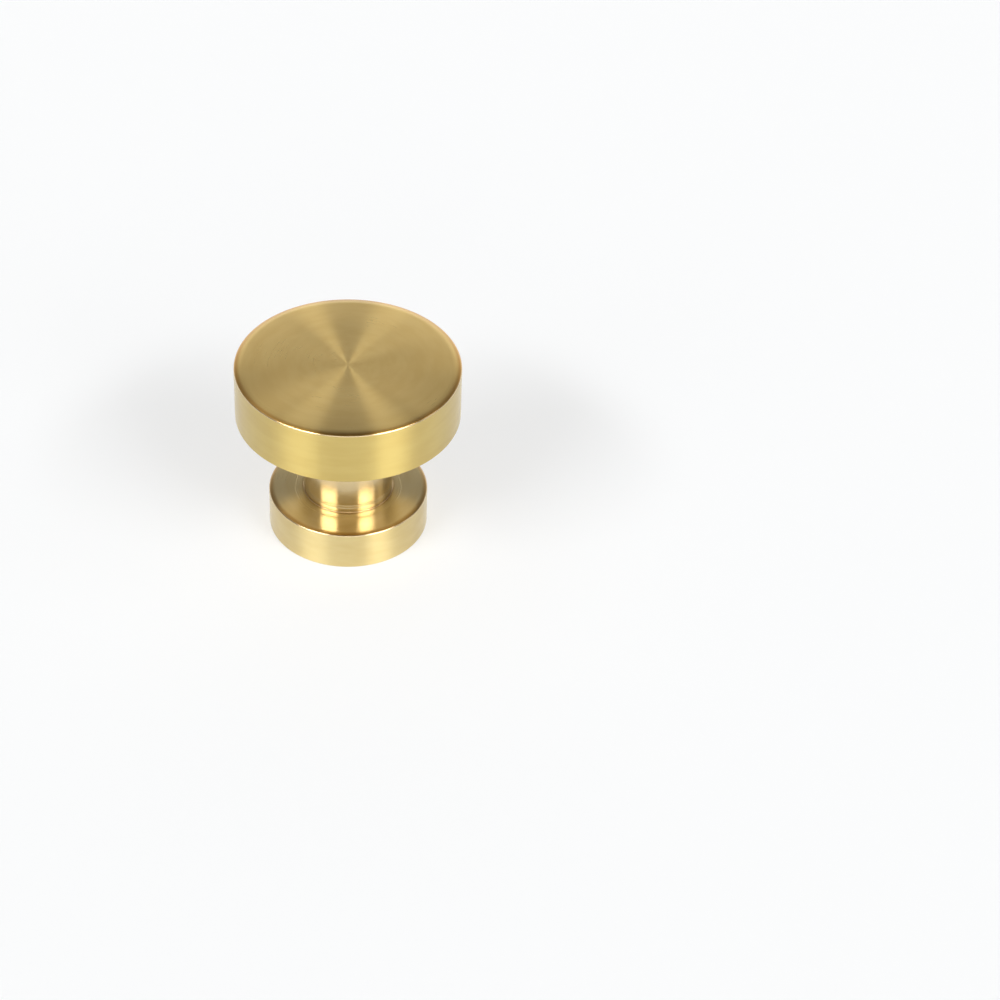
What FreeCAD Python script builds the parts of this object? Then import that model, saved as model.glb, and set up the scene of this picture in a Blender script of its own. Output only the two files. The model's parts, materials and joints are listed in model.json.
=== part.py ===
import FreeCAD, Part
import math
import os
from FreeCAD import Vector

# A cabinet knob turned in one piece from solid brass bar: a flat round head on a straight round neck,
# and a round base that seats on the cabinet front. Every face is turned about one axis.
#
# Sizes are in millimetres. The origin is the centre of the mounting face at the back of the base.
# +Z runs along the turning axis, away from the cabinet front and out through the head.

# Base, which seats on the cabinet front
base_diameter = 25.0
base_thickness = 6.5

# Neck, round which the fingers close behind the head
neck_diameter = 14.0
neck_length = 14.7

# Head, which the hand pulls
head_diameter = 35.0
head_thickness = 9.0

# The two front edges are dressed: the face rolls over in a wide shallow arc, a narrow land follows, and a
# small round runs down into the wall
edge_roll_angle = 12.0
edge_land = 0.1
head_edge_roll_radius = 5.0
head_front_edge_radius = 0.3
base_edge_roll_radius = 3.0
base_front_edge_radius = 0.3

# The two back edges are only broken with a file, and the turning tool's nose leaves a small round at each
# end of the neck
head_back_edge_chamfer = 0.15
base_back_edge_chamfer = 0.15
neck_root_radius = 0.15

# Blind hole for the fixing screw, drilled to the core size of an M4 thread. Its straight wall starts
# above a countersink that clears the thread's outside
screw_hole_diameter = 3.3
screw_hole_depth = 17.0
drill_point_angle = 118.0
countersink_diameter = 4.6
countersink_angle = 90.0

TURNING_AXIS = Vector(0, 0, 1)
CENTRE = Vector(0, 0, 0)


def rounded_corner(before, corner, after, radius):
    """The start, middle and end of the arc that rounds a corner and is tangent to both of its sides."""
    back = (before - corner).normalize()
    ahead = (after - corner).normalize()
    half_angle = back.getAngle(ahead) / 2
    start = corner + back * (radius / math.tan(half_angle))
    end = corner + ahead * (radius / math.tan(half_angle))
    inwards = (back + ahead).normalize()
    middle = corner + inwards * (radius / math.sin(half_angle) - radius)
    return start, middle, end


def turned_solid(corners):
    """A solid of revolution from its half section's corners, each (distance from axis, height, radius)."""
    places = [Vector(out, 0, height) for out, height, radius in corners]
    radii = [radius for out, height, radius in corners]
    edges = []
    pen = places[0]
    for before, corner, after, radius in zip(places, places[1:], places[2:], radii[1:]):
        if radius > 0:
            start, middle, end = rounded_corner(before, corner, after, radius)
            edges.append(Part.LineSegment(pen, start).toShape())
            edges.append(Part.Arc(start, middle, end).toShape())
            pen = end
        else:
            edges.append(Part.LineSegment(pen, corner).toShape())
            pen = corner
    edges.append(Part.LineSegment(pen, places[-1]).toShape())
    edges.append(Part.LineSegment(places[-1], places[0]).toShape())
    half_section = Part.Face(Part.Wire(edges))
    return half_section.revolve(CENTRE, TURNING_AXIS, 360)


def dressed_edge(wall, front, edge_radius, roll_radius):
    """The two corners of a dressed front edge, from its wall inwards, in the form turned_solid takes."""
    angle = math.radians(edge_roll_angle)
    round_reach = edge_radius * math.tan((math.pi / 2 - angle) / 2)
    roll_reach = roll_radius * math.tan(angle / 2)
    slope = round_reach + edge_land + roll_reach
    return [
        (wall, front - slope * math.sin(angle), edge_radius),
        (wall - slope * math.cos(angle), front, roll_radius),
    ]


def knob_blank():
    """Base, neck and head as one turned form, from the mounting face up to the front of the head."""
    base_radius = base_diameter / 2
    neck_radius = neck_diameter / 2
    head_radius = head_diameter / 2
    neck_foot = base_thickness
    head_back = neck_foot + neck_length
    head_front = head_back + head_thickness
    return turned_solid([
        (0, 0, 0),
        (base_radius - base_back_edge_chamfer, 0, 0),
        (base_radius, base_back_edge_chamfer, 0),
        *dressed_edge(base_radius, neck_foot, base_front_edge_radius, base_edge_roll_radius),
        (neck_radius, neck_foot, neck_root_radius),
        (neck_radius, head_back, neck_root_radius),
        (head_radius - head_back_edge_chamfer, head_back, 0),
        (head_radius, head_back + head_back_edge_chamfer, 0),
        *dressed_edge(head_radius, head_front, head_front_edge_radius, head_edge_roll_radius),
        (0, head_front, 0),
    ])


def screw_hole():
    """The space cut by the drill and the countersink: a mouth, a straight wall and a pointed end."""
    wall = screw_hole_diameter / 2
    mouth = countersink_diameter / 2
    countersink_depth = (mouth - wall) / math.tan(math.radians(countersink_angle / 2))
    point_length = wall / math.tan(math.radians(drill_point_angle / 2))
    return turned_solid([
        (0, 0, 0),
        (mouth, 0, 0),
        (wall, countersink_depth, 0),
        (wall, screw_hole_depth, 0),
        (0, screw_hole_depth + point_length, 0),
    ])


knob = knob_blank().cut(screw_hole())

os.makedirs("parts", exist_ok=True)
knob.exportStep("parts/knob.step")
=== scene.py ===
import json
import math
import random

import bmesh
import bpy
from mathutils import Matrix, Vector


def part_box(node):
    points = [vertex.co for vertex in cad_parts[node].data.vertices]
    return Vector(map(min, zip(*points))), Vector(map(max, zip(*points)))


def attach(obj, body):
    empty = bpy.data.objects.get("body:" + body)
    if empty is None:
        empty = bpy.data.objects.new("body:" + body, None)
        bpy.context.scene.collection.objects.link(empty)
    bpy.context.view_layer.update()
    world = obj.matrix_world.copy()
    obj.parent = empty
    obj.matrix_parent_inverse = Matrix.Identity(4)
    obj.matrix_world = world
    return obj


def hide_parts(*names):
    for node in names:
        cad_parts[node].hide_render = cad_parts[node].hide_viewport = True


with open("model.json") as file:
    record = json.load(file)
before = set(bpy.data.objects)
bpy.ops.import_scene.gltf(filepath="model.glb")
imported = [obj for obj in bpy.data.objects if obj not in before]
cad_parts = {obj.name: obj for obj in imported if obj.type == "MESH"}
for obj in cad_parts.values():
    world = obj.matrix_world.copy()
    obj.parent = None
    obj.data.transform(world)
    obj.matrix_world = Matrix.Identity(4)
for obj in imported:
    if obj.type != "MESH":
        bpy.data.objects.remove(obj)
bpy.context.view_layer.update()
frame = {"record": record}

# A turned brass cabinet knob standing on its mounting face, on a pale floor under soft studio light.
# Lengths are in metres, and MM turns the turner's millimetres into them. +Z is the turning axis.
MM = 0.001

# The knob's own sizes. Its outside and its screw hole come from the frame
base_corner, head_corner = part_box("knob")
HEAD_RADIUS = head_corner[0]
HEAD_FRONT = head_corner[2]
HEAD_THICKNESS = 9.0 * MM
HEAD_BACK = HEAD_FRONT - HEAD_THICKNESS
BASE_RADIUS = 12.5 * MM
BASE_THICKNESS = 6.5 * MM
NECK_RADIUS = 7.0 * MM

# Edges and corners. A dressed edge rolls over in a wide shallow arc and ends in a small round
ROLL_ANGLE = math.radians(12)
HEAD_ROLL_RADIUS = 5.0 * MM
BASE_ROLL_RADIUS = 3.0 * MM
FRONT_EDGE_RADIUS = 0.3 * MM
EDGE_LAND = 0.1 * MM
HEAD_BACK_CHAMFER = 0.15 * MM
BASE_BACK_CHAMFER = 0.15 * MM
NECK_ROOT_ROUND = 0.15 * MM

# The polishing wheel leaves each front face a little lower towards its edge. It starts to fall here, and
# its slope grows by this much with each metre from there
HEAD_CROWN_START = 9.6 * MM
BASE_CROWN_START = 10.0 * MM
CROWN_GROWTH = 0.009 / MM

screw_hole = next(mount for mount in frame["record"]["mounts"] if mount["name"] == "screw_hole")
CORE_RADIUS = screw_hole["dims"]["r_mm"] * MM
HOLE_DEPTH = 17.0 * MM
DRILL_POINT_ANGLE = math.radians(118)
DRILL_POINT = HOLE_DEPTH + CORE_RADIUS / math.tan(DRILL_POINT_ANGLE / 2)
COUNTERSINK_RADIUS = 2.3 * MM
COUNTERSINK_DEPTH = COUNTERSINK_RADIUS - CORE_RADIUS

# The thread that is tapped into the hole. The last two are the share of its pitch that the groove takes,
# and by how much the groove is drawn too deep before its floor is cut flat
THREAD_PITCH = 0.7 * MM
THREAD_RADIUS = 2.0 * MM
THREAD_END = 14.5 * MM
THREAD_RUN_OUT = 1.5 * MM
GROOVE_SHARE = 0.75
GROOVE_OVERDRAW = 1.12

# Tool marks that the turner leaves in the corner where the neck meets the base
MARKED_STRETCH = 2.6 * MM
MARKS = 14
MARK_WIDTH = 0.08 * MM
MARK_DEPTH = 0.03 * MM
MARK_SEED = 11

# Where marks may lie, as a share of the stretch, how they crowd towards the corner, and the shallowest
# mark as a share of the deepest
MARK_PLACES = (0.08, 0.95)
MARK_CROWDING = 1.3
SHALLOWEST_MARK = 0.35

# How finely the knob is turned
SIDES = 192
ROUND_STEPS = 6
THREAD_ROW = THREAD_PITCH / 10
MARK_ROW = 0.06 * MM
FACE_ROW = 1.5 * MM
SUPPORT = 0.05 * MM
LONG_STRETCH = 0.2 * MM
NEAR = 0.002 * MM
REACH = 0.01 * MM


# Turning the knob

def distance_out(point):
    return math.hypot(point.x, point.y)


def dressed_edge(radius, front, roll_radius):
    """The two corners of a front edge, from its face outwards.

    Each has its distance from the axis, its height and how far its arc reaches along both of its sides.
    """
    round_reach = FRONT_EDGE_RADIUS * math.tan((math.pi / 2 - ROLL_ANGLE) / 2)
    roll_reach = roll_radius * math.tan(ROLL_ANGLE / 2)
    slope = round_reach + EDGE_LAND + roll_reach
    return [
        (radius - slope * math.cos(ROLL_ANGLE), front, roll_reach),
        (radius, front - slope * math.sin(ROLL_ANGLE), round_reach),
    ]


def half_section():
    """A wire along the half section, from the drill's point round the outside to the head's centre."""
    section = bmesh.new()
    corners = [
        (0, DRILL_POINT, 0),
        (CORE_RADIUS, HOLE_DEPTH, 0),
        (CORE_RADIUS, COUNTERSINK_DEPTH, 0),
        (COUNTERSINK_RADIUS, 0, 0),
        (BASE_RADIUS - BASE_BACK_CHAMFER, 0, 0),
        (BASE_RADIUS, BASE_BACK_CHAMFER, 0),
        *reversed(dressed_edge(BASE_RADIUS, BASE_THICKNESS, BASE_ROLL_RADIUS)),
        (NECK_RADIUS + MARKED_STRETCH, BASE_THICKNESS, 0),
        (NECK_RADIUS, BASE_THICKNESS, NECK_ROOT_ROUND),
        (NECK_RADIUS, BASE_THICKNESS + MARKED_STRETCH, 0),
        (NECK_RADIUS, HEAD_BACK, NECK_ROOT_ROUND),
        (HEAD_RADIUS - HEAD_BACK_CHAMFER, HEAD_BACK, 0),
        (HEAD_RADIUS, HEAD_BACK + HEAD_BACK_CHAMFER, 0),
        *reversed(dressed_edge(HEAD_RADIUS, HEAD_FRONT, HEAD_ROLL_RADIUS)),
        (0, HEAD_FRONT, 0),
    ]
    points = [section.verts.new((out, 0, height)) for out, height, reach in corners]
    for point, following in zip(points, points[1:]):
        section.edges.new((point, following))
    for point, (out, height, reach) in zip(points, corners):
        if reach:
            bmesh.ops.bevel(section, geom=[point], offset=reach, offset_type="OFFSET", segments=ROUND_STEPS,
                            profile=0.5, affect="VERTICES", material=-1)
    add_supports(section)
    cut_evenly(section, in_hole, THREAD_ROW)
    cut_evenly(section, in_marked_corner, MARK_ROW)
    cut_evenly(section, anywhere, FACE_ROW)
    return section


def add_supports(section):
    """Puts a point just inside both ends of each long stretch, so that it is shaded flat up to its edge."""
    for edge in list(section.edges):
        length = edge.calc_length()
        if length > LONG_STRETCH:
            first, last = edge.verts
            outer, near_first = bmesh.utils.edge_split(edge, first, SUPPORT / length)
            rest = next(e for e in near_first.link_edges if last in e.verts)
            bmesh.utils.edge_split(rest, last, SUPPORT / rest.calc_length())


def cut_evenly(section, is_in, row):
    """Cuts the wire's edges that lie in a region into rows no longer than the row asked for."""
    for edge in [edge for edge in section.edges if all(is_in(end.co) for end in edge.verts)]:
        cuts = math.ceil(edge.calc_length() / row) - 1
        if cuts > 0:
            bmesh.ops.subdivide_edges(section, edges=[edge], cuts=cuts)


def anywhere(point):
    return True


def in_hole(point):
    return distance_out(point) < COUNTERSINK_RADIUS + NEAR and point.z < DRILL_POINT + NEAR


def in_marked_corner(point):
    """Whether a point lies on the neck's foot or on the ring of the base round it."""
    away = distance_out(point) - NECK_RADIUS
    up = point.z - BASE_THICKNESS
    return away > -NEAR and up > -NEAR and away + up < MARKED_STRETCH + NEAR


def turned_knob():
    section = half_section()
    bmesh.ops.spin(section, geom=list(section.verts) + list(section.edges), cent=(0, 0, 0), axis=(0, 0, 1),
                   angle=math.tau, steps=SIDES, use_merge=True)
    bmesh.ops.remove_doubles(section, verts=section.verts, dist=NEAR / 4)
    marks = tool_marks()
    for vertex in section.verts:
        if in_hole(vertex.co):
            tap_thread(vertex)
        elif in_marked_corner(vertex.co):
            cut_marks(vertex, marks)
    bmesh.ops.recalc_face_normals(section, faces=section.faces)
    return section


def tap_thread(vertex):
    """Moves a point of the hole's wall out to the thread's groove, where that is wider than the hole."""
    turn = math.atan2(vertex.co.y, vertex.co.x) / math.tau
    phase = (vertex.co.z / THREAD_PITCH - turn) % 1.0
    groove = max(0.0, 1.0 - 2 * abs(phase - 0.5) / GROOVE_SHARE)
    run_out = min(1.0, max(0.0, (THREAD_END - vertex.co.z) / THREAD_RUN_OUT))
    radius = CORE_RADIUS + (THREAD_RADIUS - CORE_RADIUS) * min(1.0, groove * GROOVE_OVERDRAW) * run_out
    out = distance_out(vertex.co)
    if radius > out > NEAR:
        vertex.co.x *= radius / out
        vertex.co.y *= radius / out


def tool_marks():
    """The rings of the marked corner: how far from it each lies, how deep it is cut, and on which side."""
    draw = random.Random(MARK_SEED)
    marks = []
    for mark in range(MARKS):
        place = draw.uniform(*MARK_PLACES) ** MARK_CROWDING * MARKED_STRETCH
        depth = draw.uniform(SHALLOWEST_MARK, 1.0) * MARK_DEPTH
        marks.append((place, depth, draw.choice(("neck", "base"))))
    return marks


def cut_marks(vertex, marks):
    """Sinks a point of the marked corner into the rings that cross it."""
    up = vertex.co.z - BASE_THICKNESS
    away = distance_out(vertex.co) - NECK_RADIUS
    for place, depth, side in marks:
        if side == "neck" and away < NEAR:
            sink = depth * max(0.0, 1.0 - abs(up - place) / MARK_WIDTH)
            vertex.co.x *= 1 - sink / NECK_RADIUS
            vertex.co.y *= 1 - sink / NECK_RADIUS
        if side == "base" and up < NEAR:
            vertex.co.z -= depth * max(0.0, 1.0 - abs(away - place) / MARK_WIDTH)


def surface_of(centre):
    """Which of the knob's turned surfaces a face belongs to, from the face's centre."""
    out = distance_out(centre)
    if out < COUNTERSINK_RADIUS and centre.z < DRILL_POINT + REACH:
        return "bored_hole"
    if centre.z < NEAR:
        return "faced_seat"
    if centre.z < BASE_THICKNESS + REACH:
        if out < BASE_RADIUS - REACH and centre.z > BASE_BACK_CHAMFER + REACH:
            return "turned_shoulder"
        return "satin_base"
    if centre.z < HEAD_BACK - REACH:
        return "turned_neck"
    if centre.z < HEAD_BACK + REACH:
        return "turned_back"
    if out < HEAD_RADIUS - REACH and centre.z > HEAD_BACK + HEAD_BACK_CHAMFER + REACH:
        return "spun_face"
    return "satin_rim"


# Materials

class Wire:
    """An output socket for Python expressions: each operator adds the Math node that does it."""

    def __init__(self, finish, socket):
        self.finish = finish
        self.socket = socket

    def maths(self, operation, *others):
        return self.finish.maths(operation, self, *others)

    def __add__(self, other):
        return self.maths("ADD", other)

    def __sub__(self, other):
        return self.maths("SUBTRACT", other)

    def __mul__(self, other):
        return self.maths("MULTIPLY", other)

    def __truediv__(self, other):
        return self.maths("DIVIDE", other)

    def __pow__(self, other):
        return self.maths("POWER", other)

    def __rsub__(self, other):
        return self.finish.maths("SUBTRACT", other, self)

    __radd__ = __add__
    __rmul__ = __mul__


class Finish:
    """A node tree under construction, of a material or of the world."""

    def __init__(self, owner):
        owner.use_nodes = True
        self.tree = owner.node_tree
        self.tree.nodes.clear()

    def add(self, kind, settings, sockets):
        """A node of one kind. Its settings come first, then the value or the link of each socket."""
        node = self.tree.nodes.new("ShaderNode" + kind)
        for name, value in settings.items():
            setattr(node, name, value)
        for name, value in sockets.items():
            if isinstance(value, Wire):
                self.tree.links.new(value.socket, node.inputs[name])
            else:
                node.inputs[name].default_value = value
        return node

    def out(self, node, name=0):
        return Wire(self, node.outputs[name])

    def maths(self, operation, *values):
        return self.out(self.add("Math", {"operation": operation}, dict(enumerate(values))))

    def noise(self, vector, scale, detail=2.0):
        sockets = {"Vector": vector, "Scale": scale, "Detail": detail}
        return self.out(self.add("TexNoise", {}, sockets), "Fac")

    def vector(self, x, y, z):
        return self.out(self.add("CombineXYZ", {}, {0: x, 1: y, 2: z}))

    def fade(self, value, start, end):
        """0 where the value is at the start or before it, 1 at the end or past it, and smooth between."""
        settings = {"interpolation_type": "SMOOTHSTEP"}
        sockets = {"Value": value, "From Min": start, "From Max": end}
        return self.out(self.add("MapRange", settings, sockets))

    def mix_colour(self, share, first, second):
        return self.out(self.add("Mix", {"data_type": "RGBA"}, {0: share, 6: first, 7: second}), 2)


# Painted shade: each front face is coloured browner in a ring inside its dressed edge, and the corner at
# the neck's foot is coloured browner too. On the edge itself a painted highlight colours it pale, and it is
# made smoother, as wear does. Lengths are distances in from the rim, or from the corner
SHADE_BROWN = (0.66, 0.51, 0.33)
SHADE_RING_FROM = 1.0 * MM
SHADE_RING_TO = 0.3 * MM
PAINTED_EDGE_HIGHLIGHT = (0.80, 0.63, 0.36, 1)
WEAR_AND_HIGHLIGHT_FROM = 0.14 * MM
WEAR_AND_HIGHLIGHT_TO = 0.04 * MM
WORN_SMOOTHER = 0.08
CORNER_SHADE_REACH = 0.5 * MM
CORNER_SHADE_FULL = 0.1 * MM

# Tarnish leaves this share of each colour part. It starts and is full at these values of its noise
TARNISH = (0.95, 0.92, 0.86)
TARNISH_FROM = 0.35
TARNISH_TO = 0.65

# How much the rings, the hairlines and the patches change the roughness
RING_SHEEN = 0.10
HAIRLINE_SHEEN = 0.10
PATCH_SHEEN = 0.06

# Heights of the surface's rings and waves, and the slope round the axis that makes its faint rays
RING_HEIGHT = 0.001 * MM
WAVE_HEIGHT = 0.012 * MM
RAY_SLOPE = 0.0015

COAT_WEIGHT = 0.7
COAT_ROUGHNESS = 0.10
COAT_IOR = 1.6
ACROSS_THE_LINES = 0.25


class TurnedPattern:
    """The noises of a surface turned round the axis, in Object coordinates."""

    def __init__(self, finish):
        self.finish = finish
        self.place = finish.out(finish.add("TexCoord", {}, {}), "Object")
        parts = finish.add("SeparateXYZ", {}, {0: self.place})
        x, y, self.z = (finish.out(parts, axis) for axis in "XYZ")
        self.out = (x * x + y * y) ** 0.5
        self.along = (self.out + self.z) / MM
        self.east = x / (self.out + NEAR)
        self.north = y / (self.out + NEAR)
        self.hairlines = self.lines(9.0, 1.5, 4.0)
        self.rings = self.lines(1.6, 0.8, 2.0)
        self.bands = self.lines(0.35, 1.2, 2.0)
        self.patches = finish.noise(self.place, 0.09 / MM, 3.0)

    def lines(self, per_mm, round_axis, detail):
        """Noise drawn out round the axis: fine along the half section, slow round it."""
        drawn_out = self.finish.vector(self.along * per_mm, self.east * round_axis, self.north * round_axis)
        return self.finish.noise(drawn_out, 2.0, detail)

    def waves(self):
        return self.finish.noise(self.place, 0.16 / MM, 1.0)

    def rays(self):
        round_axis = self.finish.vector(self.east * 3.0, self.north * 3.0, self.along * 0.02)
        return self.finish.noise(round_axis, 2.0, 3.0) * self.out


def turned_brass(name, colour, roughness, anisotropy, lines=1.0, crown_start=None, rim=None, corner=0.0):
    """Lacquered brass with the fine rings of turning round its axis.

    lines: how strongly the rings show. crown_start: how far out a face that the polishing wheel has crowned
    starts to fall. rim: the radius of the edge inside which a ring of painted shade browns the face, and on
    which a painted highlight makes it pale. corner: how strongly painted shade browns the corner at the
    neck's foot.
    """
    material = bpy.data.materials.new(name)
    finish = Finish(material)
    pattern = TurnedPattern(finish)
    out = pattern.out

    tarnish = finish.fade(pattern.bands * 0.6 + pattern.patches * 0.4, TARNISH_FROM, TARNISH_TO)
    tarnished = (*(part * kept for part, kept in zip(colour, TARNISH)), 1)
    # The browner colour of the painted shade inside the rim and at the neck's foot
    painted_shade = (*(part * kept for part, kept in zip(colour, SHADE_BROWN)), 1)
    tint = finish.mix_colour(tarnish, (*colour, 1), tarnished)
    wear_and_highlight = 0.0
    if rim is not None:
        # Painted highlight: the edge itself is coloured pale, and it is made smoother, as wear does
        wear_and_highlight = finish.fade(out, rim - WEAR_AND_HIGHLIGHT_FROM, rim - WEAR_AND_HIGHLIGHT_TO)
        # Painted shade: a ring inside the rim is coloured browner
        tint = finish.mix_colour(finish.fade(out, rim - SHADE_RING_FROM, rim - SHADE_RING_TO), tint, painted_shade)
        tint = finish.mix_colour(wear_and_highlight, tint, PAINTED_EDGE_HIGHLIGHT)
    # Painted shade: the corner at the neck's foot is coloured browner
    if corner:
        off_neck = finish.maths("ABSOLUTE", out - NECK_RADIUS)
        off_base = finish.maths("ABSOLUTE", pattern.z - BASE_THICKNESS)
        corner_shade = finish.fade(off_neck + off_base, CORNER_SHADE_REACH, CORNER_SHADE_FULL) * corner
        tint = finish.mix_colour(corner_shade, tint, painted_shade)

    line_sheen = (pattern.rings - 0.5) * RING_SHEEN + (pattern.hairlines - 0.5) * HAIRLINE_SHEEN
    sheen_change = line_sheen * lines + (pattern.patches - 0.5) * PATCH_SHEEN
    height = (pattern.rings * (RING_HEIGHT * lines) + pattern.waves() * WAVE_HEIGHT
              + pattern.rays() * (RAY_SLOPE * lines))
    if crown_start is not None:
        past = finish.maths("MAXIMUM", out - crown_start, 0.0)
        height = height - past * past * (CROWN_GROWTH / 2)
    bump = finish.add("Bump", {}, {"Strength": 1.0, "Distance": 1.0, "Height": height})
    shader = finish.add("BsdfPrincipled", {}, {
        "Base Color": tint,
        "Metallic": 1.0,
        "Roughness": roughness + sheen_change - wear_and_highlight * WORN_SMOOTHER,
        "Anisotropic": anisotropy,
        "Anisotropic Rotation": ACROSS_THE_LINES,
        "Coat Weight": COAT_WEIGHT,
        "Coat Roughness": COAT_ROUGHNESS,
        "Coat IOR": COAT_IOR,
        "Normal": finish.out(bump),
    })
    finish.add("OutputMaterial", {}, {"Surface": finish.out(shader)})
    return material


# Each surface's colour, roughness and anisotropy, what else its turning and polishing has left, and where
# shade and a highlight are painted at its rim or at the neck's foot
FINISHES = [
    turned_brass("spun_face", (0.985, 0.70, 0.25), 0.29, 1.0, lines=0.35,
                 crown_start=HEAD_CROWN_START, rim=HEAD_RADIUS),
    turned_brass("satin_rim", (0.70, 0.53, 0.16), 0.376, 0.95),
    turned_brass("turned_back", (0.76, 0.60, 0.29), 0.28, 0.9),
    turned_brass("turned_neck", (0.69, 0.55, 0.30), 0.22, 0.75, lines=0.6, corner=0.7),
    turned_brass("turned_shoulder", (0.72, 0.57, 0.29), 0.29, 0.95, lines=0.35,
                 crown_start=BASE_CROWN_START, rim=BASE_RADIUS, corner=0.7),
    turned_brass("satin_base", (0.79, 0.63, 0.28), 0.38, 0.95),
    turned_brass("faced_seat", (0.78, 0.61, 0.28), 0.32, 0.9, lines=2.0),
    turned_brass("bored_hole", (0.66, 0.50, 0.22), 0.38, 0.6),
]


# The knob

def add_object(name, data):
    thing = bpy.data.objects.new(name, data)
    bpy.context.scene.collection.objects.link(thing)
    return thing


knob_mesh = bpy.data.meshes.new("turned_knob")
for finish in FINISHES:
    knob_mesh.materials.append(finish)
slots = {finish.name: slot for slot, finish in enumerate(FINISHES)}
turning = turned_knob()
for face in turning.faces:
    face.smooth = True
    face.material_index = slots[surface_of(face.calc_center_median())]
turning.to_mesh(knob_mesh)
turning.free()
knob = add_object("turned_knob", knob_mesh)
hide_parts("knob")
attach(knob, "root")


# Floor

FLOOR_HALF = 3.0
FLOOR_GLOW = 0.49
FLOOR_SHADES = ((0.43, 0.427, 0.42, 1), (0.44, 0.437, 0.43, 1))


def pale_floor():
    """A matt white sheet that glows softly, as one lit from below does."""
    material = bpy.data.materials.new("pale_floor")
    finish = Finish(material)
    place = finish.out(finish.add("TexCoord", {}, {}), "Object")
    clouds = finish.noise(place, 6.0, 3.0)
    shader = finish.add("BsdfPrincipled", {}, {
        "Base Color": finish.mix_colour(clouds, *FLOOR_SHADES),
        "Roughness": 0.85,
        "Specular IOR Level": 0.2,
        "Emission Color": (1.0, 1.0, 1.0, 1),
        "Emission Strength": FLOOR_GLOW,
    })
    finish.add("OutputMaterial", {}, {"Surface": finish.out(shader)})
    return material


floor_mesh = bpy.data.meshes.new("floor")
sheet = bmesh.new()
bmesh.ops.create_grid(sheet, x_segments=1, y_segments=1, size=FLOOR_HALF)
sheet.to_mesh(floor_mesh)
sheet.free()
floor_mesh.materials.append(pale_floor())
floor = add_object("floor", floor_mesh)


# Light. The studio's walls are dim and fade out overhead, with a pale wall behind the knob. A soft-edged
# panel of light with a hot core stands to the left and one to the right of the camera, with paler ones
# beside them

HORIZON = (0.395, 0.38, 0.36, 1)
WALLS = (0.22, 0.213, 0.20, 1)
OVERHEAD = (0.05, 0.049, 0.047, 1)
HORIZON_FADE = 33
WALL_TOP = 51
WALL_FADE = 8
PANEL_WHITE = (0.97, 1.0, 1.04, 1)
PANEL_EDGE = 6

# Bearing from +X towards +Y, half the width, lowest and highest elevation, all in degrees, and radiance.
# The edges fade over the widths named beside them, in degrees too
PANELS = [
    (-131, 15, 12, 49, 2.1),
    (-46, 14, 7, 52, 3.3),
    (2, 10, 20, 45, 1.3),
    (-87, 22, 12, 25, 2.8),
    (160, 32, 44, 60, 0.8),
]
HOT_CORES = [
    (-139, 21, 35, 43, 18.0),
    (-37, 21, 35, 43, 14.5),
]
HOT_CORE_ENDS = 2
BACK_WALL = (90, 36, -30, 28, 1.36)
BACK_WALL_SIDES = 20
BACK_WALL_TOP = 9


class Sky:
    """The directions seen from the knob: how far each lies from a bearing, and how high."""

    def __init__(self, tent):
        self.tent = tent
        parts = tent.add("SeparateXYZ", {}, {0: tent.out(tent.add("TexCoord", {}, {}), "Generated")})
        self.x, self.y, self.z = (tent.out(parts, axis) for axis in "XYZ")
        self.rise = tent.maths("ARCSINE", self.z) * (180 / math.pi)

    def aside(self, bearing):
        turn = math.radians(bearing)
        ahead = self.x * math.cos(turn) + self.y * math.sin(turn)
        across = self.y * math.cos(turn) - self.x * math.sin(turn)
        return self.tent.maths("ABSOLUTE", self.tent.maths("ARCTAN2", across, ahead)) * (180 / math.pi)

    def window(self, bearing, half_width, low, high, radiance, side_edge=PANEL_EDGE, end_edge=PANEL_EDGE):
        """The light of a soft-edged window: its radiance inside it and none past its soft edges."""
        fade = self.tent.fade
        return (fade(self.aside(bearing), half_width + side_edge, half_width - side_edge)
                * fade(self.rise, low - end_edge, low + end_edge)
                * fade(self.rise, high + end_edge, high - end_edge) * radiance)


def studio():
    world = bpy.data.worlds.new("studio")
    tent = Finish(world)
    sky = Sky(tent)
    walls = tent.mix_colour(tent.fade(sky.rise, 0, HORIZON_FADE), HORIZON, WALLS)
    walls = tent.mix_colour(tent.fade(sky.rise, WALL_TOP, WALL_TOP + WALL_FADE), walls, OVERHEAD)
    behind = sky.window(*BACK_WALL, side_edge=BACK_WALL_SIDES, end_edge=BACK_WALL_TOP)
    cores = sum(sky.window(*core, end_edge=HOT_CORE_ENDS) for core in HOT_CORES)
    glow = sum((sky.window(*panel) for panel in PANELS), behind + cores)
    pale = tent.out(tent.add("Background", {}, {"Color": walls, "Strength": 1.0}))
    bright = tent.out(tent.add("Background", {}, {"Color": PANEL_WHITE, "Strength": glow}))
    both = tent.out(tent.add("AddShader", {}, {0: pale, 1: bright}))
    tent.add("OutputWorld", {}, {"Surface": both})
    return world


scene = bpy.context.scene
scene.world = studio()


# Camera, at the photo's viewing angle: how far it looks down, and its roll about its own line of sight

CAMERA_PLACE = (0.02407, -0.35759, 0.29926)
LOOK_DOWN = math.radians(39.489)
ROLL = math.radians(2.311)
LENS = 105.176
SENSOR = 36

scene.view_settings.view_transform = "Standard"
camera_data = bpy.data.cameras.new("camera")
camera_data.sensor_width = SENSOR
camera_data.lens = LENS
camera = add_object("camera", camera_data)
camera.matrix_world = (Matrix.Translation(CAMERA_PLACE) @ Matrix.Rotation(math.pi / 2 - LOOK_DOWN, 4, "X")
                       @ Matrix.Rotation(ROLL, 4, "Z"))
scene.camera = camera
